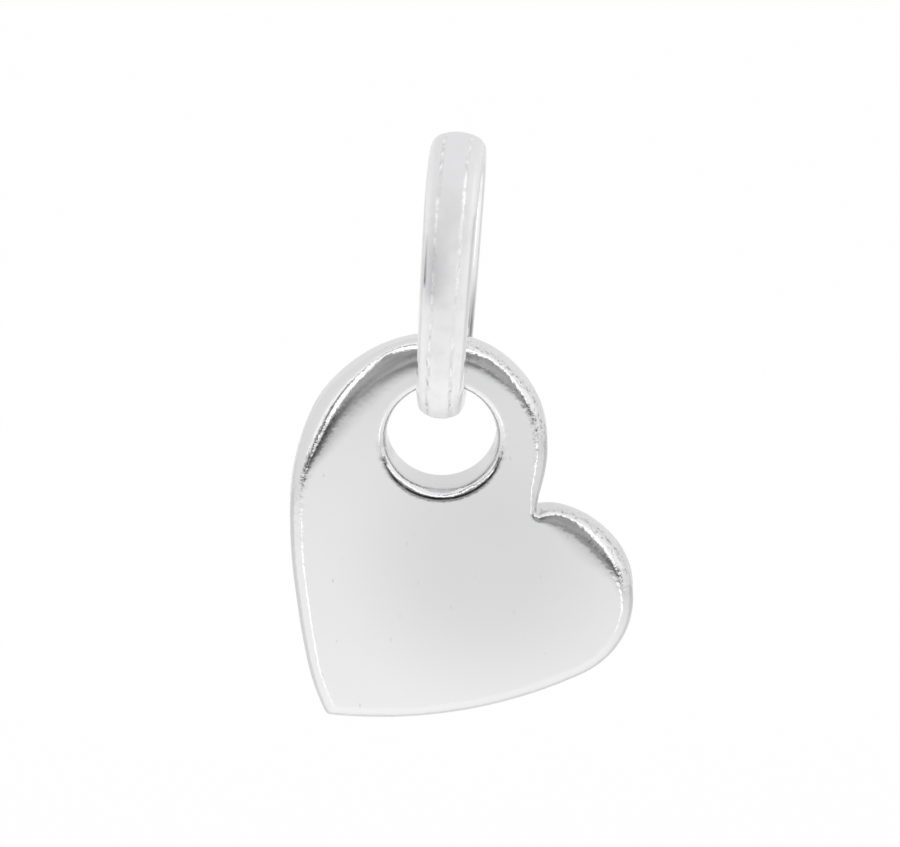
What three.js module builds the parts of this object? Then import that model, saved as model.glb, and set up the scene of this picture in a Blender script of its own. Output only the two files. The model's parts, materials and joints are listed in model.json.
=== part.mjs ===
// A heart charm in polished silver: a thick, soft-edged, uneven heart that hangs by one round hole
// on a closed oval link of half-round wire.
// Millimetres, +Z up, +X right, and the charm's face looks along -Y.
// The origin is the chain's seat: the middle of the link's inner face at its top.

import * as THREE from 'three';

// Heart, drawn upright with u to the right and v up, and its sharp tip at u = 0, v = 0
const heartThickness = 2.4;
const notchHeight = 12.67; // from the tip straight up to the notch
const largeLobeRadius = 5.2;
const largeLobeDrop = 13.1; // degrees from the notch's level down to the lobe's centre
const smallLobeRadius = 3.83;
const smallLobeDrop = 38.8;
const largeSideRadius = 18.4; // long arc from the large lobe to the tip
const smallSideRadius = 19.6; // long arc from the tip to the small lobe
const tipRadius = 0.3;
const notchRadius = 0.2;
const faceRoundWidth = 0.9; // soft rim of the front, across the face
const faceRoundDepth = 0.7; // and down the wall
const backRoundWidth = 0.6;
const backRoundDepth = 0.5;

// Hole in the large lobe, placed from the lobe's centre
const holeRadius = 2.36;
const holeAcross = -0.25;
const holeAbove = 1.06;
const holeRimRadius = 0.5;

// Link of half-round wire, flat side inwards, a little narrower where the heart hangs on it
const wireTopWidth = 2.3;
const wireSeatWidth = 2;
const wireThickness = 1.25;
const wireShoulder = 0.4; // height of its straight sides, under the dome
const wireFullness = 2.5; // power of the dome's curve: 2 is an ellipse, more is squarer
const wireEdgeRadius = 0.3; // eased edges of the flat side
const linkInnerLength = 10.05;
const linkArmRadius = 20.6; // gentle bow of the two arms
const linkSideGap = 1.1; // from each face of the heart to the arm beside it
const seatGap = 0.08; // from the link to the hole's wall that hangs on it

// How the charm hangs, in degrees
const heartTurn = 44.2; // clockwise, as the front is seen
const linkLean = 3.4; // clockwise too
const linkTwist = 4.2; // far arm towards the right

// Steps along each curve
const lobeSteps = 36;
const sideSteps = 14;
const tipSteps = 6;
const notchSteps = 8;
const rimSteps = 7;
const holeSteps = 60;
const linkEndSteps = 20;
const linkArmSteps = 10;
const domeSteps = 16;
const edgeSteps = 4;

const radians = THREE.MathUtils.degToRad;

const silver = { color: 0xdcdcdd, roughness: 0.14, metalness: 1 };

// The point where two circles meet, on the left of the line from the first centre to the second,
// or on its right where side is -1.
function meetCircles(centreA, radiusA, centreB, radiusB, side) {
  const line = centreB.clone().sub(centreA);
  const span = line.length();
  const along = (radiusA ** 2 - radiusB ** 2 + span ** 2) / (2 * span);
  const aside = side * Math.sqrt(radiusA ** 2 - along ** 2);
  const forward = line.divideScalar(span);
  const leftward = new THREE.Vector2(-forward.y, forward.x);
  return centreA.clone().addScaledVector(forward, along).addScaledVector(leftward, aside);
}

// The angle of the direction from one point to another.
function heading(from, to) {
  return to.clone().sub(from).angle();
}

// Points along an arc, without its last one, which starts the next arc.
function arcPoints(centre, radius, startAngle, endAngle, steps, clockwise = false) {
  const { x, y } = centre;
  const arc = new THREE.EllipseCurve(x, y, radius, radius, startAngle, endAngle, clockwise);
  return arc.getPoints(steps).slice(0, -1);
}

// Centres of the heart's arcs
const tipPoint = new THREE.Vector2(0, 0);
const largeLobe = new THREE.Vector2(
  -largeLobeRadius * Math.cos(radians(largeLobeDrop)),
  notchHeight - largeLobeRadius * Math.sin(radians(largeLobeDrop)),
);
const smallLobe = new THREE.Vector2(
  smallLobeRadius * Math.cos(radians(smallLobeDrop)),
  notchHeight - smallLobeRadius * Math.sin(radians(smallLobeDrop)),
);
const largeSide = meetCircles(largeLobe, largeSideRadius - largeLobeRadius, tipPoint, largeSideRadius, 1);
const smallSide = meetCircles(smallLobe, smallSideRadius - smallLobeRadius, tipPoint, smallSideRadius, -1);
const notch = meetCircles(
  largeLobe,
  largeLobeRadius + notchRadius,
  smallLobe,
  smallLobeRadius + notchRadius,
  1,
);
const hole = new THREE.Vector2(largeLobe.x + holeAcross, largeLobe.y + holeAbove);

// The heart's outline, moved inwards by inset: six arcs that run into each other, counter-clockwise.
function heartOutline(inset) {
  const largeSideInset = largeSideRadius - inset;
  const smallSideInset = smallSideRadius - inset;
  const tip = meetCircles(largeSide, largeSideInset - tipRadius, smallSide, smallSideInset - tipRadius, 1);
  const largeStart = heading(largeSide, largeLobe);
  const largeEnd = heading(largeSide, tip);
  const smallStart = heading(smallSide, tip);
  const smallEnd = heading(smallSide, smallLobe);
  const notchStart = heading(notch, smallLobe);
  const notchEnd = heading(notch, largeLobe);
  return [
    ...arcPoints(largeLobe, largeLobeRadius - inset, heading(largeLobe, notch), largeStart, lobeSteps),
    ...arcPoints(largeSide, largeSideInset, largeStart, largeEnd, sideSteps),
    ...arcPoints(tip, tipRadius, largeEnd, smallStart, tipSteps),
    ...arcPoints(smallSide, smallSideInset, smallStart, smallEnd, sideSteps),
    ...arcPoints(smallLobe, smallLobeRadius - inset, smallEnd, heading(smallLobe, notch), lobeSteps),
    ...arcPoints(notch, notchRadius + inset, notchStart, notchEnd, notchSteps, true),
  ];
}

// Steps of a quarter-round rim, from the face, where it is inset by width, to the wall, depth below.
function rimLevels(width, depth) {
  return Array.from({ length: rimSteps + 1 }, (_, step) => {
    const angle = (Math.PI / 2) * (1 - step / rimSteps);
    return { inset: width * (1 - Math.cos(angle)), drop: depth * (1 - Math.sin(angle)) };
  });
}

// Rings of points from the front face to the back face; outline gives the ring at an inset.
function ringsThroughHeart(outline, front, back) {
  const half = heartThickness / 2;
  const frontRings = front.map(({ inset, drop }) => placeRing(outline(inset), drop - half));
  const backRings = back.map(({ inset, drop }) => placeRing(outline(inset), half - drop));
  return [...frontRings, ...backRings.reverse()];
}

// A flat ring stood up at depth y, with the hole's centre as the origin.
function placeRing(points, y) {
  return points.map((point) => new THREE.Vector3(point.x - hole.x, y, point.y - hole.y));
}

// Triangles between each ring of a row and the next, as corner points; a loop ends on its first ring.
function skinRings(rings, isLoop) {
  const corners = [];
  const count = isLoop ? rings.length : rings.length - 1;
  for (let row = 0; row < count; row += 1) {
    const ring = rings[row];
    const next = rings[(row + 1) % rings.length];
    for (let i = 0; i < ring.length; i += 1) {
      const j = (i + 1) % ring.length;
      corners.push(ring[i], next[i], ring[j], ring[j], next[i], next[j]);
    }
  }
  return corners;
}

// Triangles of the flat face between an outer ring and the hole's ring, as corner points.
function capRings(outer, inner, facesBack) {
  const flatten = (ring) => ring.map((point) => new THREE.Vector2(point.x, point.z));
  const points = [...outer, ...inner];
  const triangles = THREE.ShapeUtils.triangulateShape(flatten(outer), [flatten(inner)]);
  return triangles.flatMap(([a, b, c]) => {
    const order = facesBack ? [a, c, b] : [a, b, c];
    return order.map((index) => points[index]);
  });
}

// A mesh of silver from its triangles' corner points.
function silverMesh(name, corners) {
  const geometry = new THREE.BufferGeometry().setFromPoints(corners);
  geometry.computeVertexNormals();
  const mesh = new THREE.Mesh(geometry, new THREE.MeshStandardMaterial(silver));
  mesh.name = name;
  return mesh;
}

// The heart: its soft outer wall, the flared wall of its hole, and the two flat faces between them.
function makeHeart() {
  const wall = ringsThroughHeart(
    heartOutline,
    rimLevels(faceRoundWidth, faceRoundDepth),
    rimLevels(backRoundWidth, backRoundDepth),
  );
  const holeRim = rimLevels(holeRimRadius, holeRimRadius);
  const holeCircle = (inset) => arcPoints(hole, holeRadius + inset, 0, 2 * Math.PI, holeSteps);
  const holeWall = ringsThroughHeart(holeCircle, holeRim, holeRim);
  return silverMesh('heart', [
    ...skinRings(wall, false),
    ...skinRings([...holeWall].reverse(), false),
    ...capRings(wall[0], holeWall[0], false),
    ...capRings(wall.at(-1), holeWall.at(-1), true),
  ]);
}

// The radius of the hole's wall at depth y, flared at both rims.
function holeRadiusAt(y) {
  const drop = Math.min(heartThickness / 2 - Math.abs(y), holeRimRadius);
  return holeRadius + holeRimRadius - Math.sqrt(holeRimRadius ** 2 - (holeRimRadius - drop) ** 2);
}

// The wire's section at a width, clockwise: x across the wire and y out from its flat inner side.
function wireSection(width) {
  const half = width / 2;
  const edge = half - wireEdgeRadius;
  const round = wireEdgeRadius;
  const crown = wireThickness - wireShoulder;
  const leftEdge = new THREE.EllipseCurve(-edge, round, round, round, -Math.PI / 2, -Math.PI, true);
  const rightEdge = new THREE.EllipseCurve(edge, round, round, round, 0, -Math.PI / 2, true);
  const dome = Array.from({ length: domeSteps + 1 }, (_, step) => {
    const angle = Math.PI * (1 - step / domeSteps);
    const across = Math.sign(Math.cos(angle)) * Math.abs(Math.cos(angle)) ** (2 / wireFullness);
    const rise = Math.abs(Math.sin(angle)) ** (2 / wireFullness);
    return new THREE.Vector2(half * across, wireShoulder + crown * rise);
  });
  return [...leftEdge.getPoints(edgeSteps), ...dome, ...rightEdge.getPoints(edgeSteps)];
}

// The link's inner oval, in y and z about its middle: an arm and an end, and both turned half round.
function linkArcs() {
  const halfLength = linkInnerLength / 2;
  const halfDepth = heartThickness / 2 + linkSideGap;
  const endRadius =
    (2 * linkArmRadius * halfDepth - halfLength ** 2 - halfDepth ** 2) / (2 * (linkArmRadius - halfLength));
  const armCentre = new THREE.Vector2(halfDepth - linkArmRadius, 0);
  const endCentre = new THREE.Vector2(0, halfLength - endRadius);
  const join = heading(armCentre, endCentre);
  const arm = {
    centre: armCentre,
    radius: linkArmRadius,
    start: -join,
    sweep: 2 * join,
    steps: linkArmSteps,
  };
  const end = {
    centre: endCentre,
    radius: endRadius,
    start: join,
    sweep: Math.PI - 2 * join,
    steps: linkEndSteps,
  };
  const halfTurned = (arc) => ({ ...arc, centre: arc.centre.clone().negate(), start: arc.start + Math.PI });
  return [arm, end, halfTurned(arm), halfTurned(end)];
}

// The link: the wire's section carried round the oval, which stands on its inner bottom point.
function makeLink() {
  const rings = linkArcs().flatMap(({ centre, radius, start, sweep, steps }) =>
    Array.from({ length: steps }, (_, step) => {
      const angle = start + (sweep * step) / steps;
      const out = new THREE.Vector2(Math.cos(angle), Math.sin(angle));
      const depth = centre.x + radius * out.x;
      const height = centre.y + radius * out.y + linkInnerLength / 2;
      const width = THREE.MathUtils.lerp(wireSeatWidth, wireTopWidth, height / linkInnerLength);
      const placePoint = ({ x, y }) => new THREE.Vector3(x, depth + y * out.x, height + y * out.y);
      return wireSection(width).map(placePoint);
    }),
  );
  return silverMesh('bail', skinRings(rings, true));
}

// How high above the hole's centre the link's inner bottom point can stand and clear the hole's wall.
function seatHeight(link) {
  link.updateMatrix();
  const points = link.geometry.attributes.position;
  const point = new THREE.Vector3();
  let height = Infinity;
  for (let i = 0; i < points.count; i += 1) {
    point.fromBufferAttribute(points, i).applyMatrix4(link.matrix);
    const isInHole = Math.abs(point.y) < heartThickness / 2 && point.z < linkInnerLength / 2;
    if (isInHole) {
      const reach = holeRadiusAt(point.y) - seatGap;
      height = Math.min(height, Math.sqrt(reach ** 2 - point.x ** 2) - point.z);
    }
  }
  return height;
}

const heart = makeHeart();
heart.rotation.y = radians(heartTurn);

const link = makeLink();
link.rotation.z = -radians(linkTwist);
link.position.z = seatHeight(link);

const leaningLink = new THREE.Group();
leaningLink.rotation.y = radians(linkLean);
leaningLink.add(link);

// The hole's centre, where heart and link turn against each other, hung below the chain's seat
const hanger = new THREE.Group();
const chainSeat = new THREE.Vector3(0, 0, link.position.z + linkInnerLength);
hanger.position.copy(chainSeat.applyEuler(leaningLink.rotation)).negate();
hanger.add(heart, leaningLink);

const charm = new THREE.Group();
charm.add(hanger);

export default charm;
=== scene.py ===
# Heart charm in polished silver, hanging on its link in a white light tent
import json
from math import atan2, cos, pi, radians, sin, sqrt

import bmesh
import bpy
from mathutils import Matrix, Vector


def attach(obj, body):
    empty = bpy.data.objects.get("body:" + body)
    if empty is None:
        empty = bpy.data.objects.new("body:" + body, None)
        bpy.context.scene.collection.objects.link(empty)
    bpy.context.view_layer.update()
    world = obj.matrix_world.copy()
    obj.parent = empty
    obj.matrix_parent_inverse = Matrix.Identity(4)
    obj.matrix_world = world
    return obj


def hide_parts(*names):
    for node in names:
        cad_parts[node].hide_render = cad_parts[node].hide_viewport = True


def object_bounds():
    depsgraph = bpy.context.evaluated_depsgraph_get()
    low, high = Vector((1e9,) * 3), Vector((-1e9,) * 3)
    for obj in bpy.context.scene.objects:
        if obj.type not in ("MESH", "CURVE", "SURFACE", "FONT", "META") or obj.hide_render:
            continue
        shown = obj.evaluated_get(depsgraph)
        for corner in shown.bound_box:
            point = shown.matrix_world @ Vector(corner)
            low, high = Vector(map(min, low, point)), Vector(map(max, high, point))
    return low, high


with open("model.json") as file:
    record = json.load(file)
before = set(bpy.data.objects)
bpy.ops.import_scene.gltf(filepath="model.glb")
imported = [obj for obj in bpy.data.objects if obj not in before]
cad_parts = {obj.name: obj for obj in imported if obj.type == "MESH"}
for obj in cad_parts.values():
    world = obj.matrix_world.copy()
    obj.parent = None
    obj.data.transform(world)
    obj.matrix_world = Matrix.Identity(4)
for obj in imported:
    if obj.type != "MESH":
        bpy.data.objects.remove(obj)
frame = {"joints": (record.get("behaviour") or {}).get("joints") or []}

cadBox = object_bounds()
mm = 0.001
holeCentre = Vector(frame["joints"][0]["pos_m"])  # heart and link turn against each other here
print("frame loaded, hole at", [round(value / mm, 3) for value in holeCentre])


def clamp(value):  # to between 0 and 1
    return min(max(value, 0), 1)


def deselectAll():
    bpy.ops.object.select_all(action="DESELECT")


def placeLoop(piece, loop, points):
    mesh = bmesh.from_edit_mesh(piece.data)
    mesh.verts.ensure_lookup_table()
    for index, point in zip(loop, points):
        mesh.verts[index].co = Vector(point) * mm
    bmesh.update_edit_mesh(piece.data)


def extrudeLoop(piece, loop, points):
    bpy.ops.mesh.extrude_edges_move()  # the new loop comes out selected, on top of the old one
    mesh = bmesh.from_edit_mesh(piece.data)
    mesh.verts.index_update()
    mesh.verts.ensure_lookup_table()
    newLoop = []
    for index in loop:
        vert = mesh.verts[index]
        others = [edge.other_vert(vert) for edge in vert.link_edges]
        newLoop += [other.index for other in others if other.select]
    placeLoop(piece, newLoop, points)
    return newLoop


def extrudeThrough(piece, loops):  # from the loop just added, through every later one
    mesh = bmesh.from_edit_mesh(piece.data)
    rows = [[vert.index for vert in mesh.verts if vert.select]]
    placeLoop(piece, rows[0], loops[0])
    for points in loops[1:]:
        rows.append(extrudeLoop(piece, rows[-1], points))
    return rows


def selectLoops(piece, *loops):
    bpy.ops.mesh.select_all(action="DESELECT")
    mesh = bmesh.from_edit_mesh(piece.data)
    mesh.verts.ensure_lookup_table()
    for loop in loops:
        for index in loop:
            mesh.verts[index].select = True
    mesh.select_flush_mode()
    bmesh.update_edit_mesh(piece.data)


# Heart, drawn upright in mm with its sharp tip at 0, 0, then hung by its hole

heartSizes = dict(
    thickness=2.4,
    notchHeight=12.67,
    largeLobe=5.2,
    largeDrop=13.1,  # degrees below the notch's level
    smallLobe=3.83,
    smallDrop=38.8,
    largeSide=18.4,
    smallSide=19.6,
    tipRound=0.3,
    notchRound=0.2,
    backWidth=0.9,  # back rim, across the face and down the wall
    backDepth=0.8,
    hole=2.36,
    holeAcross=-0.25,  # from the large lobe's centre
    holeAbove=1.06,
    holeFrontRim=0.56,
    holeFlare=(0.8, 0.2),  # share of that rim on average, and how much more at the lower edge
    holeBackRim=0.5,
    holeMargin=0.12,  # least flat between the hole's rim and the heart's
    turn=44.2,  # degrees clockwise, as the front is seen
    rimTilts=(8, 32),  # degrees from the face to where the rim's broad radius ends, and its soft one
    rimCrowding=1.4,  # rows lie closer together next to the face
    plainRim=0.6,
    rimFade=2.9,  # how much broader than soft the rim begins, for each mm over the plain rim
    faceLip=0.03,  # flat strip that keeps the faces' shading flat
    wavyRim=0.45,  # radius at which the buff's waves have their full height
    waveFall=1.3,  # power by which they shrink on a broader rim
    mostWaves=2,  # times that height at most, on a tighter one
    wallWaves=0.15,  # share of them on the wall and the back
    holeWaves=0.5,
    notchWaves=(0.15, 1.5),  # share of them in the notch, and in how many mm along the rim it grows by 1
    unbuffedSpans=((2.6, 10.2), (46.6, 52.6)),  # mm along the outline, where the buff missed the edge
    unbuffedWaves=0.7,  # share of waves added there
    pitOnset=4,  # how fast pits set in past the soft radius, for each radian of tilt
    lineRings=(4.6, 1.6),  # rings from the face to the painted dark reflection line at the hole, and half its width
    lineFoot=(0.25, 0.7),  # shares of the hole's radius below its middle, where it begins and is whole
)

# The front rim was filed and buffed by hand, so it is nowhere quite the same: mm along the outline from
# the notch, large lobe first, then mm off the outline at the back and at the front, and the radius that
# the front rim has next to the face and at its edge
rimStations = [
    (0.0, 0.03, 0.05, 0.30, 0.30),
    (0.35, 0.11, 0.13, 0.40, 0.40),
    (0.8, 0.16, 0.18, 0.52, 0.52),
    (1.6, 0.18, 0.18, 0.60, 0.60),
    (3.0, 0.10, 0.10, 0.60, 0.60),
    (4.6, 0.00, 0.00, 0.60, 0.60),
    (5.5, -0.03, -0.03, 0.66, 0.54),
    (6.5, -0.06, -0.08, 0.88, 0.43),
    (7.5, -0.08, -0.12, 1.05, 0.36),
    (8.5, -0.07, -0.15, 1.12, 0.34),
    (10.2, 0.02, -0.15, 1.35, 0.38),
    (11.4, 0.11, -0.10, 1.65, 0.42),
    (12.3, 0.15, -0.01, 1.80, 0.43),
    (13.1, 0.17, 0.08, 1.85, 0.48),
    (14.0, 0.17, 0.15, 1.80, 0.62),
    (15.0, 0.13, 0.12, 1.78, 0.80),
    (16.0, 0.04, 0.03, 1.75, 0.97),
    (17.0, -0.06, -0.07, 1.65, 1.02),
    (18.0, -0.13, -0.13, 1.38, 0.90),
    (19.2, -0.16, -0.16, 0.90, 0.72),
    (20.6, -0.13, -0.13, 0.62, 0.61),
    (22.4, 0.02, 0.02, 0.60, 0.60),
    (25.4, 0.17, 0.17, 0.60, 0.60),
    (27.4, 0.12, 0.12, 0.60, 0.60),
    (29.4, 0.00, 0.00, 0.60, 0.60),
    (33.0, 0.00, 0.00, 0.60, 0.60),
    (45.0, 0.00, 0.00, 0.60, 0.60),
    (46.4, 0.00, 0.00, 0.62, 0.60),
    (47.4, -0.02, 0.00, 0.84, 0.62),
    (48.6, -0.01, 0.00, 1.28, 0.63),
    (49.4, 0.00, -0.03, 1.55, 0.58),
    (50.0, -0.01, -0.07, 1.65, 0.50),
    (50.7, -0.04, -0.14, 1.60, 0.40),
    (51.4, -0.08, -0.22, 1.35, 0.35),
    (52.0, -0.11, -0.28, 1.05, 0.31),
    (52.5, -0.08, -0.18, 0.60, 0.28),
    (52.91, 0.03, 0.05, 0.30, 0.30),
]

# Steps along the outline's arcs and round the hole, and across each rim
heartSteps = dict(lobe=110, side=72, tip=12, notch=14, rim=30, backRim=12, hole=144, holeRim=16)


def meetCircles(centreA, radiusA, centreB, radiusB, side):
    line = centreB - centreA
    along = (radiusA ** 2 - radiusB ** 2 + line.length_squared) / (2 * line.length)
    aside = side * sqrt(radiusA ** 2 - along ** 2)
    forward = line.normalized()
    return centreA + forward * along + Vector((-forward.y, forward.x)) * aside


def heading(start, end):
    return atan2(end.y - start.y, end.x - start.x)


def lobeCentre(radius, drop, side):
    across, down = radius * cos(radians(drop)), radius * sin(radians(drop))
    return Vector((side * across, heartSizes["notchHeight"] - down))


def heartCentres():
    sizes = heartSizes
    large = lobeCentre(sizes["largeLobe"], sizes["largeDrop"], -1)
    small = lobeCentre(sizes["smallLobe"], sizes["smallDrop"], 1)
    tip = Vector((0, 0))
    toLarge, toSmall = [sizes[lobe] + sizes["notchRound"] for lobe in ("largeLobe", "smallLobe")]
    return dict(
        large=large,
        small=small,
        largeSide=meetCircles(large, sizes["largeSide"] - sizes["largeLobe"], tip, sizes["largeSide"], 1),
        smallSide=meetCircles(small, sizes["smallSide"] - sizes["smallLobe"], tip, sizes["smallSide"], -1),
        notch=meetCircles(large, toLarge, small, toSmall, 1),
        hole=large + Vector((sizes["holeAcross"], sizes["holeAbove"])),
    )


centres = heartCentres()


def heartArcs(inset):  # six arcs that run into each other, as centre, radius, first angle and sweep
    sizes = heartSizes
    large, small, notch = centres["large"], centres["small"], centres["notch"]
    largeSide, smallSide = centres["largeSide"], centres["smallSide"]
    largeRun, smallRun = sizes["largeSide"] - inset, sizes["smallSide"] - inset
    tip = meetCircles(largeSide, largeRun - sizes["tipRound"], smallSide, smallRun - sizes["tipRound"], 1)
    marks = [
        (large, sizes["largeLobe"] - inset, heading(large, notch), heading(largeSide, large)),
        (largeSide, largeRun, heading(largeSide, large), heading(largeSide, tip)),
        (tip, sizes["tipRound"], heading(largeSide, tip), heading(smallSide, tip)),
        (smallSide, smallRun, heading(smallSide, tip), heading(smallSide, small)),
        (small, sizes["smallLobe"] - inset, heading(smallSide, small), heading(small, notch)),
    ]
    arcs = [(centre, radius, start, (end - start) % (2 * pi)) for centre, radius, start, end in marks]
    notchStart = heading(notch, small)
    notchSweep = (notchStart - heading(notch, large)) % (2 * pi)
    return arcs + [(notch, sizes["notchRound"] + inset, notchStart, -notchSweep)]


arcSteps = [heartSteps[name] for name in ("lobe", "side", "tip", "side", "lobe", "notch")]
outlineMarks = [(arc, step / count) for arc, count in enumerate(arcSteps) for step in range(count)]


def outlinePoint(mark, inset):
    arc, share = mark
    centre, radius, start, sweep = heartArcs(inset)[arc]
    angle = start + sweep * share
    return centre + radius * Vector((cos(angle), sin(angle)))


def outlineLengths():  # mm along the outline at each mark
    points = [outlinePoint(mark, 0) for mark in outlineMarks]
    lengths = [0]
    for start, end in zip(points, points[1:]):
        lengths.append(lengths[-1] + (end - start).length)
    return lengths


alongRim = outlineLengths()


def between(along, column):  # smooth curve through the stations
    last = len(rimStations) - 1
    after = next((index for index, station in enumerate(rimStations) if station[0] > along), last)
    slopes = []
    for index in (after - 1, after):
        before, beyond = rimStations[max(index - 1, 0)], rimStations[min(index + 1, last)]
        slopes.append((beyond[column] - before[column]) / (beyond[0] - before[0]))
    start, end = rimStations[after - 1], rimStations[after]
    run = end[0] - start[0]
    share = min((along - start[0]) / run, 1)
    rest = 1 - share
    ends = start[column] * rest ** 2 * (1 + 2 * share) + end[column] * share ** 2 * (1 + 2 * rest)
    return ends + run * share * rest * (slopes[0] * rest - slopes[1] * share)


def rimAt(mark, along):  # off the outline at the back and front, then the front rim's three radii
    sizes = heartSizes
    back, front, soft, tight = [between(along, column) for column in (1, 2, 3, 4)]
    low, high = [sin(radians(tilt)) for tilt in sizes["rimTilts"]]
    toHole = (outlinePoint(mark, front) - centres["hole"]).length - sizes["hole"] - sizes["holeFrontRim"]
    room = toHole - sizes["holeMargin"] - tight * (1 - high)
    soft = min(soft, room / high)
    broad = soft + sizes["rimFade"] * max(soft - sizes["plainRim"], 0)
    return back, front, min(broad, (room - soft * (high - low)) / low), soft, tight


rims = [rimAt(mark, along) for mark, along in zip(outlineMarks, alongRim)]
rimShares = [step / heartSteps["rim"] for step in range(heartSteps["rim"] + 1)]
rimRows = [pi / 2 * share ** heartSizes["rimCrowding"] for share in rimShares]  # tilt of each row


def rimPoint(radii, tilt):  # mm in from the outline and back from the face where the rim has this tilt
    bounds = [0, *[radians(limit) for limit in heartSizes["rimTilts"]], pi / 2]
    left = depth = 0
    for radius, low, high in zip(radii, bounds, bounds[1:]):
        reached = min(max(tilt, low), high)
        left += radius * (sin(high) - sin(reached))
        depth += radius * (cos(low) - cos(reached))
    return left, depth


def heartLoop(insets, depths):  # one ring of the outer wall, in mm about the hole
    points = [outlinePoint(mark, inset) - centres["hole"] for mark, inset in zip(outlineMarks, insets)]
    return [(point.x, depth, point.y) for point, depth in zip(points, depths)]


def heartLoops():
    half = heartSizes["thickness"] / 2
    lip = heartSizes["faceLip"]
    width, depth = heartSizes["backWidth"], heartSizes["backDepth"]
    loops = []
    for step, tilt in enumerate(rimRows):
        points = [rimPoint(rim[2:], tilt) for rim in rims]
        insets = [rim[1] + point[0] for rim, point in zip(rims, points)]
        if step == 0:
            loops.append(heartLoop([inset + lip for inset in insets], [-half] * len(rims)))
        loops.append(heartLoop(insets, [point[1] - half for point in points]))
    for step in range(heartSteps["backRim"] + 1):
        angle = pi / 2 * step / heartSteps["backRim"]
        insets = [rim[0] + width * (1 - cos(angle)) for rim in rims]
        loops.append(heartLoop(insets, [half - depth * (1 - sin(angle))] * len(rims)))
    loops.append(heartLoop([rim[0] + width + lip for rim in rims], [half] * len(rims)))
    return loops


def holeLoops():  # the front rim is flared most at the lower edge, as the heart hangs
    half, lip = heartSizes["thickness"] / 2, heartSizes["faceLip"]
    lowest = radians(heartSizes["turn"]) - pi / 2
    average, more = heartSizes["holeFlare"]
    angles = [2 * pi * step / heartSteps["hole"] for step in range(heartSteps["hole"])]
    even = [heartSizes["holeBackRim"]] * len(angles)
    uneven = [heartSizes["holeFrontRim"] * (average + more * cos(angle - lowest)) for angle in angles]
    tilts = [pi / 2 * (1 - step / heartSteps["holeRim"]) for step in range(heartSteps["holeRim"] + 1)]
    loops = []
    for side, flares in ((-1, uneven), (1, even)):
        rows = [[(flare + lip, half) for flare in flares]]
        for tilt in tilts:
            rows.append([(flare * (1 - cos(tilt)), half - flare * (1 - sin(tilt))) for flare in flares])
        for row in rows if side < 0 else rows[::-1]:
            ring = []
            for angle, (wider, depth) in zip(angles, row):
                radius = heartSizes["hole"] + wider
                ring.append((radius * cos(angle), side * depth, radius * sin(angle)))
            loops.append(ring)
    return loops


def unbuffedAt(along):  # 1 where the buff missed the edge, fading out in the first and last mm
    return max(clamp(min(along - first, last - along)) for first, last in heartSizes["unbuffedSpans"])


def markRim(heart, rows):  # mm along and across the rim, its waves and its pits, for the finish
    sizes = heartSizes
    mesh = bmesh.from_edit_mesh(heart.data)
    layers = mesh.verts.layers.float
    along, across, onRim, pitted = [layers.new(name) for name in ("rimAlong", "rimAcross", "onRim", "pitted")]
    mesh.verts.ensure_lookup_table()
    length = [0] * len(alongRim)
    whole = alongRim[-1]
    inNotch, calmReach = sizes["notchWaves"]
    calm = [clamp(inNotch + min(place, whole - place) / calmReach) for place in alongRim]
    unbuffed = [unbuffedAt(place) for place in alongRim]
    for number, row in enumerate(rows):
        tilt = rimRows[min(max(number - 1, 0), len(rimRows) - 1)]
        zone = 2 + sum(tilt > radians(limit) for limit in sizes["rimTilts"])
        nearEdge = clamp((tilt - radians(sizes["rimTilts"][1])) * sizes["pitOnset"])
        for place, index in enumerate(row):
            vert = mesh.verts[index]
            if number:
                length[place] += (vert.co - mesh.verts[rows[number - 1][place]].co).length / mm
            vert[along] = alongRim[place]
            vert[across] = length[place]
            waves = min((sizes["wavyRim"] / rims[place][zone]) ** sizes["waveFall"], sizes["mostWaves"])
            waves *= calm[place] * (1 + sizes["unbuffedWaves"] * unbuffed[place])
            if number > len(rimRows):
                waves *= sizes["wallWaves"]
            vert[onRim] = waves if 0 < number < len(rows) - 1 else 0
            vert[pitted] = nearEdge * unbuffed[place] if number <= len(rimRows) else 0
    bmesh.update_edit_mesh(heart.data)


def markHole(heart, rows):  # 1 along the outer edge of the hole's front rim, at its foot, where a dark reflection is painted
    mesh = bmesh.from_edit_mesh(heart.data)
    line = mesh.verts.layers.float.new("holeLine")
    onRim = mesh.verts.layers.float["onRim"]
    mesh.verts.ensure_lookup_table()
    turn = radians(heartSizes["turn"])
    middle, halfWidth = heartSizes["lineRings"]
    begun, whole = heartSizes["lineFoot"]
    for number, row in enumerate(rows[:heartSteps["holeRim"]]):
        onLine = max(1 - abs(number - middle) / halfWidth, 0)
        for index in row:
            vert = mesh.verts[index]
            height = (vert.co.z * cos(turn) - vert.co.x * sin(turn)) / Vector((vert.co.x, vert.co.z)).length
            vert[line] = onLine * clamp((-height - begun) / (whole - begun))
            vert[onRim] = heartSizes["holeWaves"] if number else 0
    bmesh.update_edit_mesh(heart.data)


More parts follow.
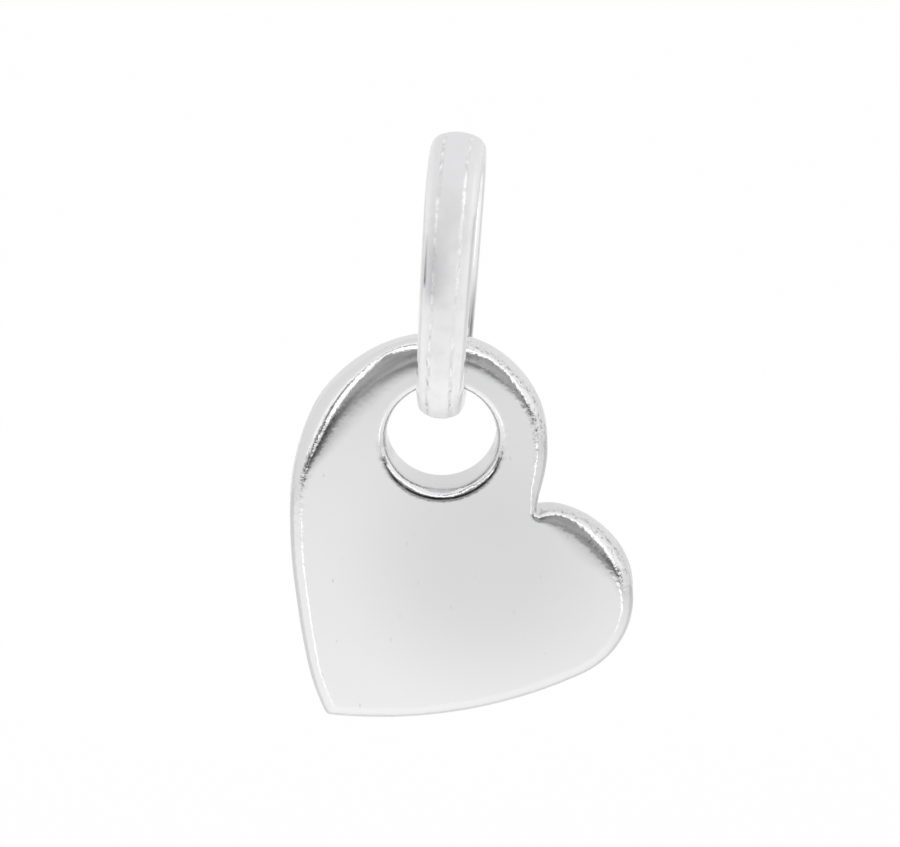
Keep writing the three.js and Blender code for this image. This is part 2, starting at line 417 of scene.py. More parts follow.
def makeHeart():
    deselectAll()
    bpy.ops.mesh.primitive_circle_add(vertices=len(outlineMarks), radius=heartSizes["largeLobe"] * mm)
    heart = bpy.context.object
    heart.name = heart.data.name = "silverHeart"
    bpy.ops.object.mode_set(mode="EDIT")
    wallRows = extrudeThrough(heart, heartLoops())
    bpy.ops.mesh.select_all(action="DESELECT")
    bpy.ops.mesh.primitive_circle_add(vertices=heartSteps["hole"], radius=heartSizes["hole"] * mm)
    holeRows = extrudeThrough(heart, holeLoops())
    for row in (0, -1):
        selectLoops(heart, wallRows[row], holeRows[row])
        bpy.ops.mesh.fill(use_beauty=True)  # flat face between the rim and the hole
    markRim(heart, wallRows)
    markHole(heart, holeRows)
    bpy.ops.mesh.select_all(action="SELECT")
    bpy.ops.mesh.normals_make_consistent(inside=False)
    bpy.ops.object.mode_set(mode="OBJECT")
    bpy.ops.object.shade_smooth()
    heart.rotation_euler = (0, radians(heartSizes["turn"]), 0)
    heart.location = holeCentre
    bpy.ops.object.transform_apply(location=True, rotation=True, scale=True)
    return heart


heart = makeHeart()
print("heart made,", len(heart.data.polygons), "faces")

# Link of half-round wire, bent round the hole's edge with its flat side in, in mm

linkSizes = dict(
    topWidth=2.3,
    seatWidth=2.0,  # a little narrower where the heart hangs
    thickness=1.25,
    shoulder=0.5,  # height of the straight sides
    shoulderRound=0.65,
    edgeRound=0.3,  # eased edges of the flat side
    innerLength=10.05,
    halfDepth=2.3,  # from the middle to the flat side of each arm
    armRadius=20.6,
    lean=3.4,  # degrees clockwise, as the front is seen
    twist=4.2,  # degrees, far arm towards the right
    aside=-0.07,  # hangs a little to one side in the hole
    seam=0.001,  # points closer than this are merged where the bends meet
)

# Steps along each bend, then round the section of the wire
linkSteps = dict(arm=48, end=64, edge=6, shoulder=14, crown=16)


def arcRow(centre, radius, start, end, steps):  # points of an arc without its last one
    angles = [start + (end - start) * step / steps for step in range(steps)]
    return [(centre[0] + radius * cos(angle), centre[1] + radius * sin(angle)) for angle in angles]


def wireSection():  # across the wire and out from its flat side, counter-clockwise from the flat side
    sizes, steps = linkSizes, linkSteps
    half, edge, low = sizes["topWidth"] / 2, sizes["edgeRound"], sizes["shoulder"]
    rise = sizes["thickness"] - low
    shoulder = sizes["shoulderRound"]
    inset = half - shoulder
    crown = (inset ** 2 + rise ** 2 - shoulder ** 2) / (2 * (rise - shoulder))  # runs into both shoulders
    crownCentre = (0, sizes["thickness"] - crown)
    meet = atan2(low - crownCentre[1], inset)
    return [
        *arcRow((half - edge, edge), edge, -pi / 2, 0, steps["edge"]),
        *arcRow((inset, low), shoulder, 0, meet, steps["shoulder"]),
        *arcRow(crownCentre, crown, meet, pi - meet, steps["crown"]),
        *arcRow((-inset, low), shoulder, pi - meet, pi, steps["shoulder"]),
        *arcRow((edge - half, edge), edge, pi, 3 * pi / 2, steps["edge"]),
        (edge - half, 0),
    ]


def markSection(link, section):  # where each point is on the section, as shares, for the finish
    mesh = bmesh.from_edit_mesh(link.data)
    across = mesh.verts.layers.float.new("wireAcross")
    out = mesh.verts.layers.float.new("wireOut")
    mesh.verts.ensure_lookup_table()
    for vert, point in zip(mesh.verts, section):
        vert[across] = point[0] / (linkSizes["topWidth"] / 2)
        vert[out] = point[1] / linkSizes["thickness"]
    bmesh.update_edit_mesh(link.data)


def makeLink():
    sizes = linkSizes
    halfLength, halfDepth, arm = sizes["innerLength"] / 2, sizes["halfDepth"], sizes["armRadius"]
    end = (2 * arm * halfDepth - halfLength ** 2 - halfDepth ** 2) / (2 * (arm - halfLength))
    join = atan2(halfLength - end, arm - halfDepth)
    section = wireSection()
    start = []
    for across, out in section:
        start.append((across, halfDepth - arm + (arm + out) * cos(join), -(arm + out) * sin(join)))
    deselectAll()
    bpy.ops.mesh.primitive_circle_add(vertices=len(section), radius=sizes["topWidth"] / 2 * mm)
    link = bpy.context.object
    link.name = link.data.name = "silverLink"
    bpy.ops.object.mode_set(mode="EDIT")
    placeLoop(link, range(len(section)), start)
    markSection(link, section)
    bends = [
        (halfDepth - arm, 0, 2 * join, linkSteps["arm"]),
        (0, halfLength - end, pi - 2 * join, linkSteps["end"]),
        (arm - halfDepth, 0, 2 * join, linkSteps["arm"]),
        (0, end - halfLength, pi - 2 * join, linkSteps["end"]),
    ]
    for depth, height, angle, steps in bends:
        middle = (0, depth * mm, height * mm)
        bpy.ops.mesh.spin(steps=steps, angle=angle, center=middle, axis=(-1, 0, 0))  # front to top
    bpy.ops.mesh.select_all(action="SELECT")
    bpy.ops.mesh.remove_doubles(threshold=sizes["seam"] * mm)
    bpy.ops.mesh.normals_make_consistent(inside=False)
    bpy.ops.object.mode_set(mode="OBJECT")
    bpy.ops.object.shade_smooth()
    for vert in link.data.vertices:  # thinned towards the seat
        share = (vert.co.z / mm + halfLength) / sizes["innerLength"]
        width = sizes["seatWidth"] + (sizes["topWidth"] - sizes["seatWidth"]) * share
        vert.co.x *= width / sizes["topWidth"]
        vert.co.z += holeCentre.length - halfLength * mm
    link.rotation_mode = "ZYX"
    link.rotation_euler = (0, radians(sizes["lean"]), -radians(sizes["twist"]))
    link.location = holeCentre + Vector((sizes["aside"] * mm, 0, 0))
    bpy.ops.object.transform_apply(location=True, rotation=True, scale=True)
    return link


link = makeLink()
print("link made,", len(link.data.polygons), "faces")

for piece, body, node in ((heart, "heart", "heart"), (link, "link", "bail")):
    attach(piece, body)
    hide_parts(node)

# Materials

noiseSpan = (0.3, 0.7)  # most of a noise lies between these
rangeSockets = ("From Min", "From Max", "To Min", "To Max")  # in the order that a span gives them


def linearColour(hexText):
    shares = [int(hexText[place:place + 2], 16) / 255 for place in (1, 3, 5)]
    linear = [share / 12.92 if share < 0.04045 else ((share + 0.055) / 1.055) ** 2.4 for share in shares]
    return linear + [1]


def joinTo(tree, source, socket):  # a node stands for the first output that it has in use
    if isinstance(source, bpy.types.Node):
        source = next(output for output in source.outputs if output.enabled)
    tree.links.new(source, socket)


def addNode(tree, kind, settings=None, links=None):
    # Inputs go by name or number: a Mix node's share is 0, its two values are 2 and 3, its colours 6 and 7
    node = tree.nodes.new(kind)
    for name, value in (settings or {}).items():
        if isinstance(name, str) and hasattr(node, name):
            setattr(node, name, value)
        else:
            node.inputs[name].default_value = value
    for name, source in (links or {}).items():
        joinTo(tree, source, node.inputs[name])
    return node


heartFinish = dict(
    silver="#e6e6e7",
    roughness=(0.07, 0.13),
    cloudSize=2.6,  # mm, patches left by the buff
    paintedFrontShade="#d9d9da",  # painted shade: the middle of the front is painted a little darker, standing in for a darker reflection there
    paintedFrontShadeCentre=(1.2, -1.2, -17.6),
    paintedFrontShadeReach=(7.5, 1.5),  # mm from its middle to where it begins and is whole
    nicked="#d0d0d2",
    nickSpacing=(0.6, 1, 1.4),  # mm between small nicks: across, in depth and along
    nickTurn=-12,  # degrees
    nickSize=0.06,
    nickEdge=(1.8, 0.5),  # shares of its half size, where a nick begins and is whole
    paintedHoleReflection="#4c4c4e",  # painted reflection: a dark line painted under the lower edge of the hole, standing in for the dark reflection there
    paintedHoleReflectionFrom=(0.2, 0.6),
    lineBreakSize=0.5,  # mm, breaks in that painted line
    lineBreakFrom=(0.1, 0.5),
    pitted="#b6b6b8",  # casting skin left on the edge
    pitSize=0.15,
    pitFrom=(0.54, 0.66),
    pitHeight=0.03,
    waveSize=0.3,  # mm, unevenness that frays the edges of reflections
    waveHeight=0.034,  # on the rim
    faceShare=0.05,  # of that on the flat faces
    streakWidth=0.16,  # mm across a file mark along the rim
    streakLength=2.2,
    streakHeight=0.0022,
    crownRadius=150,  # mm, the front is buffed very slightly domed
    crownCentre=(1.5, 0, -12.5),
    hairSize=(0.05, 0.05, 1.6),  # mm, buffing hairlines, drawn three times too wide so that they show
    hairTurn=25,  # degrees
    hairHeight=0.0003,
)


def castSilver():
    # Cast sterling silver, filed and buffed by hand: a bright mirror that is never quite even, with
    # waves and file marks round its rim, cloudy patches, fine hairlines and casting pits on its edge
    finish = heartFinish
    material = bpy.data.materials.new("castSterlingSilverBuffed")
    material.use_nodes = True
    tree = material.node_tree
    shader = tree.nodes["Principled BSDF"]
    shader.inputs["Metallic"].default_value = 1
    place = addNode(tree, "ShaderNodeTexCoord").outputs["Object"]
    onRim, along, across, onSkin, atHole = [
        addNode(tree, "ShaderNodeAttribute", {"attribute_name": name}).outputs["Fac"]
        for name in ("onRim", "rimAlong", "rimAcross", "pitted", "holeLine")
    ]
    cloud, lineBreaks, skin, wave = [
        addNode(
            tree,
            "ShaderNodeTexNoise",
            {"Scale": 1 / (finish[size] * mm), "Detail": detail},
            {"Vector": place},
        )
        for size, detail in (("cloudSize", 3), ("lineBreakSize", 2), ("pitSize", 2), ("waveSize", 4))
    ]
    nickPlace, hairPlace = [
        addNode(
            tree,
            "ShaderNodeMapping",
            {"Rotation": (0, radians(finish[turn]), 0), "Scale": [1 / (size * mm) for size in finish[sizes]]},
            {"Vector": place},
        )
        for turn, sizes in (("nickTurn", "nickSpacing"), ("hairTurn", "hairSize"))
    ]
    fromPaintedFrontShade, fromCrown = [
        addNode(
            tree,
            "ShaderNodeVectorMath",
            {"operation": "DISTANCE", 1: Vector(finish[centre]) * mm},
            {0: place},
        )
        for centre in ("paintedFrontShadeCentre", "crownCentre")
    ]

    # Colour, from the clean silver up
    # painted shade: the middle of the front is painted darker, standing in for a darker reflection
    paintedFrontShadeReach = [reach * mm for reach in finish["paintedFrontShadeReach"]]
    paintedFrontShadeShare = addNode(
        tree,
        "ShaderNodeMapRange",
        {"interpolation_type": "SMOOTHSTEP", **dict(zip(rangeSockets, paintedFrontShadeReach))},
        {"Value": fromPaintedFrontShade},
    )
    nicks = addNode(tree, "ShaderNodeTexVoronoi", {"Scale": 1}, {"Vector": nickPlace})
    halfNick = finish["nickSize"] / finish["nickSpacing"][0] / 2
    spans = [
        (nicks, [halfNick * share for share in finish["nickEdge"]]),
        (atHole, finish["paintedHoleReflectionFrom"]),
        (lineBreaks, finish["lineBreakFrom"]),
        (skin, finish["pitFrom"]),
        (cloud, (*noiseSpan, *finish["roughness"])),
    ]
    nick, onHoleReflection, left, pits, gloss = [
        addNode(tree, "ShaderNodeMapRange", dict(zip(rangeSockets, span)), {"Value": source})
        for source, span in spans
    ]
    paintedHoleReflectionMask, pit = [
        addNode(tree, "ShaderNodeMath", {"operation": "MULTIPLY"}, {0: pattern, 1: share})
        for pattern, share in ((left, onHoleReflection), (pits, onSkin))
    ]
    colour = addNode(
        tree,
        "ShaderNodeMix",
        {"data_type": "RGBA", 6: linearColour(finish["silver"]), 7: linearColour(finish["paintedFrontShade"])},
        {0: paintedFrontShadeShare},
    )
    # nicks and casting pits are the silver's own marks; the dark line at the hole is a painted reflection
    for tone, mask in (("nicked", nick), ("paintedHoleReflection", paintedHoleReflectionMask), ("pitted", pit)):
        colour = addNode(
            tree,
            "ShaderNodeMix",
            {"data_type": "RGBA", 7: linearColour(finish[tone])},
            {0: mask, 6: colour},
        )
    joinTo(tree, colour, shader.inputs["Base Color"])
    joinTo(tree, gloss, shader.inputs["Roughness"])

    # Relief, from the broadest form to the finest
    squared = addNode(tree, "ShaderNodeMath", {"operation": "POWER", 1: 2}, {0: fromCrown})
    slope = -1 / (2 * finish["crownRadius"] * mm)
    fall = addNode(tree, "ShaderNodeMath", {"operation": "MULTIPLY", 1: slope}, {0: squared})
    amount = addNode(tree, "ShaderNodeMapRange", {"To Min": finish["faceShare"]}, {"Value": onRim})
    lengthways, sideways = [
        addNode(tree, "ShaderNodeMath", {"operation": "DIVIDE", 1: finish[size]}, {0: distance})
        for size, distance in (("streakLength", along), ("streakWidth", across))
    ]
    rimPlace = addNode(tree, "ShaderNodeCombineXYZ", links={"X": lengthways, "Y": sideways})
    streak, hair = [
        addNode(tree, "ShaderNodeTexNoise", {"Scale": 1, "Detail": detail}, {"Vector": source})
        for source, detail in ((rimPlace, 2), (hairPlace, 1))
    ]
    relief = addNode(tree, "ShaderNodeBump", {"Distance": 1}, {"Height": fall})
    layers = [
        ("waveHeight", False, {"Height": wave, "Strength": amount}),
        ("streakHeight", False, {"Height": streak, "Strength": onRim}),
        ("pitHeight", True, {"Height": skin, "Strength": onSkin}),
        ("hairHeight", False, {"Height": hair}),
    ]
    for height, sunk, links in layers:
        relief = addNode(
            tree,
            "ShaderNodeBump",
            {"Distance": finish[height] * mm, "invert": sunk},
            {**links, "Normal": relief},
        )
    joinTo(tree, relief, shader.inputs["Normal"])
    return material


linkFinish = dict(
    silver="#fdfdfd",
    clouded="#f8f8f8",
    cloudSize=0.7,  # mm
    cloudFrom=(0.42, 0.7),
    paintedTopShade="#f3f3f4",  # painted shade: the top of the bend is painted darker
    paintedTopShadeFrom=(-2.6, 0.4),  # mm, heights between which it sets in
    burnished="#fefefe",
    ridge=0.47,  # share of the half width where the crown runs into the shoulder
    ridgeWidth=0.08,
    ridgeDrop=0.085,  # mm down to the shoulder
    breakSize=0.42,  # mm, length of the breaks along the burnished lines
    breakFrom=(0.42, 0.52),
    sway=0.1,  # share of the half width that they wander
    crownFrom=(0.6, 0.8),  # shares of the thickness between which the crown begins
    roughness=(0.69, 0.75),  # crown
    sideRoughness=0.12,
    sideFrom=(0.72, 0.92),  # shares of the half width
    flatRoughness=0.16,  # inner side, smooth from the drawing die
    flatFrom=(0.2, 0.02),  # shares of the thickness
    burnishedRoughness=0.12,
    paintedShades=[  # painted shade, each a patch or line: share of the half width and how wide, then mm: heights and depths between which each sets in
        # painted shade: a broad grey patch on the left of the upper arm
        dict(tone="#e1e1e3", at=(-0.5, 0.7), heights=((-5.4, -4.6), (-1.2, -3.4)), depths=((-1, -2),)),
        # painted shade: a thin dark line down the left edge of the front arm
        dict(tone="#77777a", at=(-0.8, 0.07), heights=((-4.5, -4.15), (-1.9, -4.15)), depths=((-1, -2),)),
        # painted shade: a dark line on the right, where the far arm's inner side shows past the front arm
        dict(tone="#77777a", at=(0.9, 0.1), heights=((-9.4, -8.4), (-5.8, -8)), depths=((1, 2), (2.85, 2.5))),
    ],
    drawSize=(0.1, 3, 3),  # mm, drawing lines, drawn wide enough to show
    drawHeight=0.0012,
)


def drawnSilver():
    # Sterling silver wire, drawn, bent and tumbled: its crown has a soft white bloom with two worn bright
    # lines, its shoulders are glossier, and the flat inner side keeps the mirror that the die gave it
    finish = linkFinish
    material = bpy.data.materials.new("drawnSterlingSilverTumbled")
    material.use_nodes = True
    tree = material.node_tree
    shader = tree.nodes["Principled BSDF"]
    shader.inputs["Metallic"].default_value = 1
    place = addNode(tree, "ShaderNodeTexCoord").outputs["Object"]
    axes = addNode(tree, "ShaderNodeSeparateXYZ", links={0: place})
    depth, height = axes.outputs["Y"], axes.outputs["Z"]
    across, out = [
        addNode(tree, "ShaderNodeAttribute", {"attribute_name": name}).outputs["Fac"]
        for name in ("wireAcross", "wireOut")
    ]
    side = addNode(tree, "ShaderNodeMath", {"operation": "ABSOLUTE"}, {0: across})
    breaks, cloud = [
        addNode(
            tree,
            "ShaderNodeTexNoise",
            {"Scale": 1 / (finish[size] * mm), "Detail": detail},
            {"Vector": place},
        )
        for size, detail in (("breakSize", 2), ("cloudSize", 3))
    ]

    # Two burnished lines wander along the ridges of the crown, broken here and there
    sway = {"To Min": finish["ridge"] - finish["sway"], "To Max": finish["ridge"] + finish["sway"]}
    wander = addNode(tree, "ShaderNodeMapRange", sway, {"Value": breaks})
    offLine = addNode(tree, "ShaderNodeMath", {"operation": "SUBTRACT"}, {0: side, 1: wander})
    nearLine = addNode(tree, "ShaderNodeMath", {"operation": "ABSOLUTE"}, {0: offLine})
    spans = [
        (out, finish["crownFrom"]),
        (breaks, finish["breakFrom"]),
        (cloud, finish["cloudFrom"]),
        (side, finish["sideFrom"]),
        (out, finish["flatFrom"]),
        (height, [level * mm for level in finish["paintedTopShadeFrom"]]),
        (nearLine, (finish["ridgeWidth"], 0)),
        (offLine, (finish["ridgeWidth"], -finish["ridgeWidth"])),
        (cloud, (*noiseSpan, *finish["roughness"])),
    ]
    onCrown, unbroken, mottle, flank, inside, paintedTopShadeShare, burnish, drop, gloss = [
        addNode(tree, "ShaderNodeMapRange", dict(zip(rangeSockets, span)), {"Value": source})
        for source, span in spans
    ]
    for share in (onCrown, unbroken):
        burnish = addNode(tree, "ShaderNodeMath", {"operation": "MULTIPLY"}, {0: burnish, 1: share})

    # Colour, from the clean silver up
    # painted shade on the top of the bend, and in the grey patch and dark lines below
    layers = [(finish["paintedTopShade"], paintedTopShadeShare), (finish["burnished"], burnish)]
    for paintedPatch in finish["paintedShades"]:
        middle, reach = paintedPatch["at"]
        offPaintedPatch = addNode(tree, "ShaderNodeMath", {"operation": "SUBTRACT", 1: middle}, {0: across})
        nearPaintedPatch = addNode(tree, "ShaderNodeMath", {"operation": "ABSOLUTE"}, {0: offPaintedPatch})
        left = addNode(tree, "ShaderNodeMapRange", {"From Min": reach, "From Max": 0}, {"Value": nearPaintedPatch})
        tapers = [(height, run) for run in paintedPatch["heights"]] + [(depth, run) for run in paintedPatch["depths"]]
        for source, run in tapers:
            span = [end * mm for end in run]
            taper = addNode(tree, "ShaderNodeMapRange", dict(zip(rangeSockets, span)), {"Value": source})
            left = addNode(tree, "ShaderNodeMath", {"operation": "MULTIPLY"}, {0: left, 1: taper})
        layers.append((paintedPatch["tone"], left))
    colour = addNode(
        tree,
        "ShaderNodeMix",
        {"data_type": "RGBA", 6: linearColour(finish["silver"]), 7: linearColour(finish["clouded"])},
        {0: mottle},
    )
    for tone, mask in layers:
        colour = addNode(
            tree,
            "ShaderNodeMix",
            {"data_type": "RGBA", 7: linearColour(tone)},
            {0: mask, 6: colour},
        )
    joinTo(tree, colour, shader.inputs["Base Color"])
    for name, mask in (("sideRoughness", flank), ("flatRoughness", inside), ("burnishedRoughness", burnish)):
        gloss = addNode(tree, "ShaderNodeMix", {3: finish[name]}, {0: mask, 2: gloss})
    joinTo(tree, gloss, shader.inputs["Roughness"])

    # Drawing lines, and the step from the crown down to each shoulder
    drawScale = [1 / (size * mm) for size in finish["drawSize"]]
    stretched = addNode(tree, "ShaderNodeMapping", {"Scale": drawScale}, {"Vector": place})
    draw = addNode(tree, "ShaderNodeTexNoise", {"Scale": 1, "Detail": 1}, {"Vector": stretched})
    lines = addNode(tree, "ShaderNodeBump", {"Distance": finish["drawHeight"] * mm}, {"Height": draw})
    ridges = addNode(
        tree,
        "ShaderNodeBump",
        {"Distance": finish["ridgeDrop"] * mm},
        {"Strength": onCrown, "Height": drop, "Normal": lines},
    )
    joinTo(tree, ridges, shader.inputs["Normal"])
    return material


for piece, material in ((heart, castSilver()), (link, drawnSilver())):
    piece.data.materials.clear()
    piece.data.materials.append(material)
print("materials made")

# Light tent: white cloth all round, lit round the edge of the opening that the camera looks in through

tent = dict(
    floorDrop=50,  # mm below the charm's lowest point
    paper="#fbfbfb",
    paperWidth=640,
    paperFade=180,  # mm from its middle, where its sides and back begin to thin out
    paperFront=2400,  # mm of paper in front of the charm, and behind it
    paperBack=400,
    paperGlow=0.97,  # share of plain white that the camera sees, the rest is the paper with its shadow
    fill=0.56,  # plain level of light from all round, on the paper
    openingSide=43,  # degrees from straight ahead to the opening's edge
    openingTop=34,
    openingSoft=(0, -2),  # degrees past that edge, the dim room begins and is whole
    lensTilt=20,
    lensSpread=(18, 4),  # degrees from the lens, its shade begins and is whole
    lensLevel=0.45,
    roomSize=0.25,  # patches of the dim room that shows through the opening
    roomSpan=(0.35, 0.65),
    roomLevels=(0.8, 1.15),
    gap=(0, 5),  # degrees, the shade between the floor and the cloth ends here
    gapFoot=(-8, -5),  # and begins here
    gapRise=1,  # degrees higher on the right
    gapAside=(20, 38),  # degrees from straight ahead, it sets in
    gapBehind=(72, 55),  # and ends
    gapLevel=0.16,
    middleBlend=0.08,  # sideways reach of the change from the left side's levels to the right's
    footRise=(-4, 6),  # degrees, the lamps round the opening narrow between these
    footShare=2,  # times narrower at their foot
    rampTop=2,  # brightest level that the ramps below can hold
)

# Painted shade and light in the paper's colour: mm behind the charm between which its level changes, and the
# share that it changes to
paperBands = [
    ((-170, -700), 0.45),  # in front it falls into painted shade
    ((0, 30), 0.79),  # behind, a painted shadow where the charm keeps the lamp off
    ((110, 150), 1.2),  # and that painted shadow ends again
]

# The same round a spot, mm to the right of the charm and behind it: its reach, the shares inside and outside
paperSpots = [
    ((-250, -250), (30, 130), (0.2, 1)),  # painted shade on the front left
    ((0, -40), (25, 70), (1, 0.95)),  # painted light, brightest just in front of the charm
]

# Levels across the edge of the opening, in degrees outwards from it: a narrow lamp and a seam in the cloth
# on the left, a broader lamp on the right
leftLevels = [
    (-45, 0.45),
    (-10, 0.42),
    (-1, 0.32),
    (0.5, 1.6),
    (9, 1.6),
    (10.6, 0.25),
    (15.8, 0.25),
    (18, 1.2),
    (27, 1.15),
    (33, 0.93),
    (50, 0.9),
    (90, 0.88),
]
rightLevels = [
    (-45, 0.5),
    (-10, 0.48),
    (-1, 0.36),
    (0.5, 1.5),
    (11, 1.5),
    (12.5, 0.95),
    (14, 0.95),
    (17, 1.12),
    (45, 1.08),
    (60, 0.9),
    (90, 0.88),
]

deselectAll()
floorHeight = cadBox[0][2] - tent["floorDrop"] * mm
bpy.ops.mesh.primitive_plane_add(size=1, location=(0, 0, floorHeight))
floor = bpy.context.object
floor.name = "floor"
floor.scale = (tent["paperWidth"] * mm, (tent["paperFront"] + tent["paperBack"]) * mm, 1)
floor.location.y = (tent["paperBack"] - tent["paperFront"]) / 2 * mm
bpy.ops.object.transform_apply(location=True, rotation=True, scale=True)


def whitePaper():
    # Matt white paper: no gloss, nearly white to the camera, with the object's shadow kept and painted shade
    # and light in its colour
    material = bpy.data.materials.new("mattWhitePaper")
    material.use_nodes = True
    tree = material.node_tree
    tree.nodes.clear()
    place = addNode(tree, "ShaderNodeTexCoord").outputs["Object"]
    axes = addNode(tree, "ShaderNodeSeparateXYZ", links={0: place})
    right, behind = axes.outputs["X"], axes.outputs["Y"]
    aside = addNode(tree, "ShaderNodeMath", {"operation": "ABSOLUTE"}, {0: right})
    flat = addNode(tree, "ShaderNodeCombineXYZ", links={"X": right, "Y": behind})
    zones = [
        (aside, (tent["paperFade"], tent["paperWidth"] / 2), (0, 1)),
        (behind, (tent["paperFade"], tent["paperBack"]), (0, 1)),
    ]
    # painted shade and light: the paper's level falls and rises by place
    zones += [(behind, reach, (1, level)) for reach, level in paperBands]
    for spot, reach, levels in paperSpots:
        middle = Vector((*spot, 0)) * mm
        away = addNode(tree, "ShaderNodeVectorMath", {"operation": "DISTANCE", 1: middle}, {0: flat})
        zones.append((away, reach, levels))
    zoneNodes = []
    for distance, reach, levels in zones:
        span = [*[end * mm for end in reach], *levels]
        zoneNodes.append(
            addNode(
                tree,
                "ShaderNodeMapRange",
                {"interpolation_type": "SMOOTHSTEP", **dict(zip(rangeSockets, span))},
                {"Value": distance},
            )
        )
    sides, rear, brightness, *shades = zoneNodes
    for shade in shades:
        brightness = addNode(tree, "ShaderNodeMath", {"operation": "MULTIPLY"}, {0: brightness, 1: shade})
    paper = addNode(
        tree,
        "ShaderNodeMix",
        {"data_type": "RGBA", 6: linearColour("#000000"), 7: linearColour(tent["paper"])},
        {0: brightness},
    )
    matt = addNode(tree, "ShaderNodeBsdfDiffuse", links={"Color": paper})
    edges = addNode(tree, "ShaderNodeMath", {"operation": "MAXIMUM"}, {0: sides, 1: rear})
    clear = addNode(tree, "ShaderNodeBsdfTransparent")
    thinned = addNode(tree, "ShaderNodeMixShader", links={0: edges, 1: matt, 2: clear})
    glow = addNode(tree, "ShaderNodeEmission", {"Color": linearColour("#ffffff"), "Strength": 1})
    toCamera = addNode(tree, "ShaderNodeLightPath").outputs["Is Camera Ray"]
    seen = addNode(tree, "ShaderNodeMath", {"operation": "MULTIPLY", 1: tent["paperGlow"]}, {0: toCamera})
    blend = addNode(tree, "ShaderNodeMixShader", links={0: seen, 1: thinned, 2: glow})
    addNode(tree, "ShaderNodeOutputMaterial", links={"Surface": blend})
    return material


floor.data.materials.append(whitePaper())


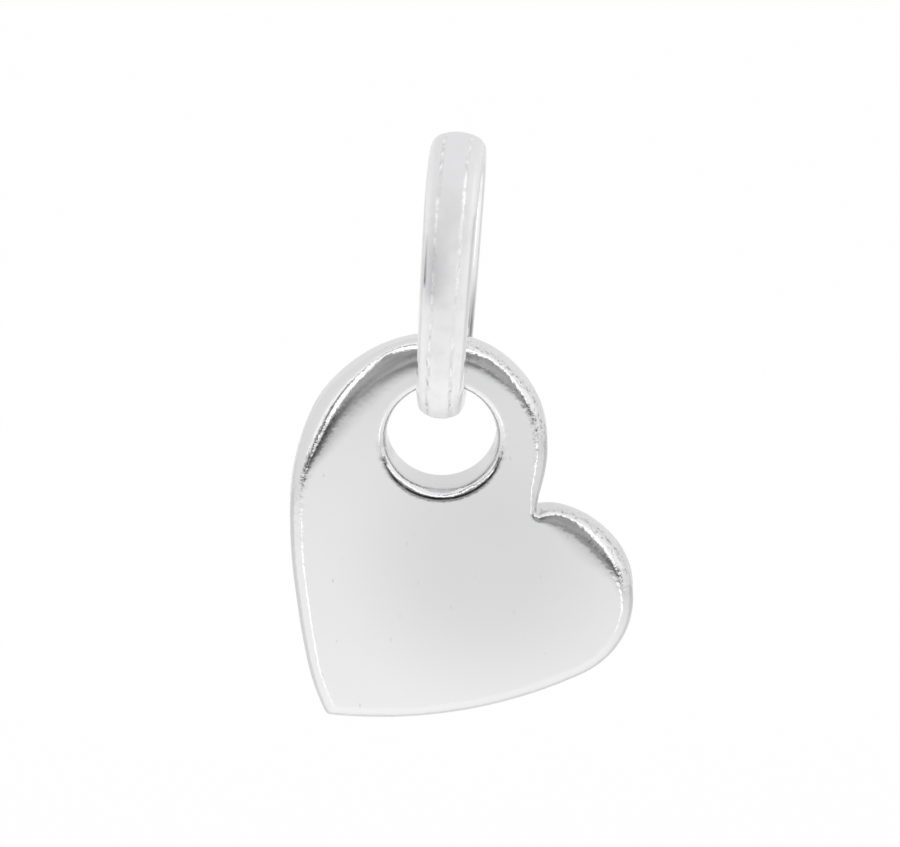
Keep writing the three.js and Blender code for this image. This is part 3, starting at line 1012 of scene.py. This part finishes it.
def tentWorld():
    world = bpy.data.worlds.new("lightTent")
    world.use_nodes = True
    tree = world.node_tree
    tree.nodes.clear()
    way = addNode(tree, "ShaderNodeTexCoord").outputs["Generated"]
    axes = addNode(tree, "ShaderNodeSeparateXYZ", links={0: way})
    right = axes.outputs["X"]
    across = addNode(tree, "ShaderNodeMath", {"operation": "ABSOLUTE"}, {0: right})
    ahead = addNode(tree, "ShaderNodeMath", {"operation": "MULTIPLY", 1: -1}, {0: axes.outputs["Y"]})
    turn = addNode(tree, "ShaderNodeMath", {"operation": "ARCTAN2"}, {0: across, 1: ahead})
    rise = addNode(tree, "ShaderNodeMath", {"operation": "ARCSINE"}, {0: axes.outputs["Z"]})

    # Cloth and lamps, by the angle outwards from the opening's edge
    pastSide, pastTop = [
        addNode(tree, "ShaderNodeMath", {"operation": "SUBTRACT", 1: radians(tent[name])}, {0: angle})
        for name, angle in (("openingSide", turn), ("openingTop", rise))
    ]
    pastEdge = addNode(tree, "ShaderNodeMath", {"operation": "MAXIMUM"}, {0: pastSide, 1: pastTop})
    spans = [
        (rise, (*map(radians, tent["footRise"]), tent["footShare"], 1)),
        (right, (-tent["middleBlend"], tent["middleBlend"])),
    ]
    narrow, onRight = [
        addNode(tree, "ShaderNodeMapRange", dict(zip(rangeSockets, span)), {"Value": source})
        for source, span in spans
    ]
    narrowed = addNode(tree, "ShaderNodeMath", {"operation": "MULTIPLY"}, {0: pastEdge, 1: narrow})
    first, last = leftLevels[0][0], leftLevels[-1][0]
    wholeSpan = {"From Min": radians(first), "From Max": radians(last)}
    share = addNode(tree, "ShaderNodeMapRange", wholeSpan, {"Value": narrowed})
    ramps = []
    for edgeLevels in (leftLevels, rightLevels):
        ramp = addNode(tree, "ShaderNodeValToRGB", links={"Fac": share})
        elements = ramp.color_ramp.elements
        while len(elements) < len(edgeLevels):
            elements.new(1)
        for element, (angle, level) in zip(elements, edgeLevels):
            element.position = (angle - first) / (last - first)
            grey = level / tent["rampTop"]  # a ramp's own colours stop at 1
            element.color = (grey, grey, grey, 1)
        ramps.append(ramp)
    levels = addNode(tree, "ShaderNodeMix", {"data_type": "RGBA"}, {0: onRight, 6: ramps[0], 7: ramps[1]})

    # Shade of the lens, the dim room behind it and the gap over the floor
    lensWay = (0, -cos(radians(tent["lensTilt"])), sin(radians(tent["lensTilt"])))
    toLens = addNode(tree, "ShaderNodeVectorMath", {"operation": "DOT_PRODUCT", 1: lensWay}, {0: way})
    lensSpan = [cos(radians(angle)) for angle in tent["lensSpread"]]
    room = addNode(tree, "ShaderNodeTexNoise", {"Scale": 1 / tent["roomSize"], "Detail": 2}, {"Vector": way})
    highest = radians(tent["gapRise"])
    lift = addNode(tree, "ShaderNodeMath", {"operation": "MULTIPLY", 1: highest}, {0: onRight})
    gapFrom = addNode(tree, "ShaderNodeMath", {"operation": "SUBTRACT"}, {0: rise, 1: lift})
    spans = [
        (toLens, (*lensSpan, 1, tent["lensLevel"])),
        (room, (*tent["roomSpan"], *tent["roomLevels"])),
        (gapFrom, (*map(radians, tent["gap"]), tent["gapLevel"], 1)),
        (pastEdge, map(radians, tent["openingSoft"])),
        (turn, map(radians, tent["gapAside"])),
        (turn, map(radians, tent["gapBehind"])),
        (gapFrom, map(radians, tent["gapFoot"])),
    ]
    lensShade, patches, gapShade, throughOpening, atGap, behind, aboveFoot = [
        addNode(tree, "ShaderNodeMapRange", dict(zip(rangeSockets, span)), {"Value": source})
        for source, span in spans
    ]
    for mask in (behind, aboveFoot):
        atGap = addNode(tree, "ShaderNodeMath", {"operation": "MULTIPLY"}, {0: atGap, 1: mask})
    dimRoom, sideGap = [
        addNode(tree, "ShaderNodeMix", {2: 1}, {0: mask, 3: shade})
        for mask, shade in ((throughOpening, patches), (atGap, gapShade))
    ]
    level = addNode(tree, "ShaderNodeMath", {"operation": "MULTIPLY", 1: tent["rampTop"]}, {0: levels})
    for shade in (lensShade, dimRoom, sideGap):
        level = addNode(tree, "ShaderNodeMath", {"operation": "MULTIPLY"}, {0: level, 1: shade})

    # Metal mirrors the cloth, the paper gets a plain fill, and the camera sees white
    plainWhite = linearColour("#ffffff")
    cloth = addNode(tree, "ShaderNodeBackground", {"Color": plainWhite}, {"Strength": level})
    fill, white = [
        addNode(tree, "ShaderNodeBackground", {"Color": plainWhite, "Strength": strength})
        for strength in (tent["fill"], 1)
    ]
    rays = addNode(tree, "ShaderNodeLightPath").outputs
    mirrored = addNode(tree, "ShaderNodeMixShader", links={0: rays["Is Glossy Ray"], 1: fill, 2: cloth})
    seen = addNode(
        tree,
        "ShaderNodeMath",
        {"operation": "MAXIMUM"},
        {0: rays["Is Camera Ray"], 1: rays["Is Transmission Ray"]},
    )
    blend = addNode(tree, "ShaderNodeMixShader", links={0: seen, 1: mirrored, 2: white})
    addNode(tree, "ShaderNodeOutputWorld", links={"Surface": blend})
    return world


scene = bpy.context.scene
scene.world = tentWorld()
scene.view_settings.view_transform = "Standard"

# Lamps: size, place and aim in mm, level, whether metal mirrors it
lampSheets = [
    dict(name="softbox", size=(220, 220), place=(-48, -50, 255), aim=(-48, -50, 0), level=4.5, mirror=False),
    dict(name="backSoftbox", size=(220, 220), place=(0, 230, 255), aim=(0, 230, 0), level=1.2, mirror=False),
    dict(name="leftStrip", size=(7, 22), place=(-42, -70, -63), aim=(0, 0, -14), level=1.15, mirror=True),
    dict(name="rightStrip", size=(7, 28), place=(42, -70, -51.5), aim=(0, 0, -14), level=1.15, mirror=True),
]


def addLamp(sheet):
    deselectAll()
    place = Vector(sheet["place"])
    width, height = sheet["size"]
    bpy.ops.object.light_add(type="AREA", location=place * mm)
    lamp = bpy.context.object
    lamp.name = sheet["name"]
    lamp.rotation_euler = (place - Vector(sheet["aim"])).to_track_quat("Z", "Y").to_euler()
    lamp.data.shape = "RECTANGLE"
    lamp.data.size = width * mm
    lamp.data.size_y = height * mm
    lamp.data.energy = sheet["level"] * pi * width * height * mm ** 2
    lamp.visible_camera = False
    lamp.visible_glossy = sheet["mirror"]


for sheet in lampSheets:
    addLamp(sheet)
print("tent lit")

# Camera, a long lens looking down on the front: mm and degrees, with the clip distances in metres

lens = dict(
    distance=700,
    elevation=20,
    pixelsPerMm=23.5,
    imageWidth=900,
    sensor=36,
    across=0.357,  # from the middle of the hole to the middle of the picture
    up=0.66,
    clip=(0.01, 10),
)


def addCamera():
    tilt = radians(lens["elevation"])
    forward = Vector((0, cos(tilt), -sin(tilt)))
    upward = Vector((0, sin(tilt), cos(tilt)))
    faceCentre = holeCentre + Vector((0, -heartSizes["thickness"] / 2 * mm, 0))
    target = faceCentre + Vector((lens["across"] * mm, 0, 0)) + upward * lens["up"] * mm
    place = target - forward * lens["distance"] * mm
    bpy.ops.object.camera_add(location=place, rotation=(pi / 2 - tilt, 0, 0))
    camera = bpy.context.object
    camera.data.sensor_fit = "HORIZONTAL"
    camera.data.sensor_width = lens["sensor"]
    camera.data.lens = lens["sensor"] * lens["distance"] * lens["pixelsPerMm"] / lens["imageWidth"]
    camera.data.clip_start, camera.data.clip_end = lens["clip"]
    scene.camera = camera


addCamera()
print("camera set")
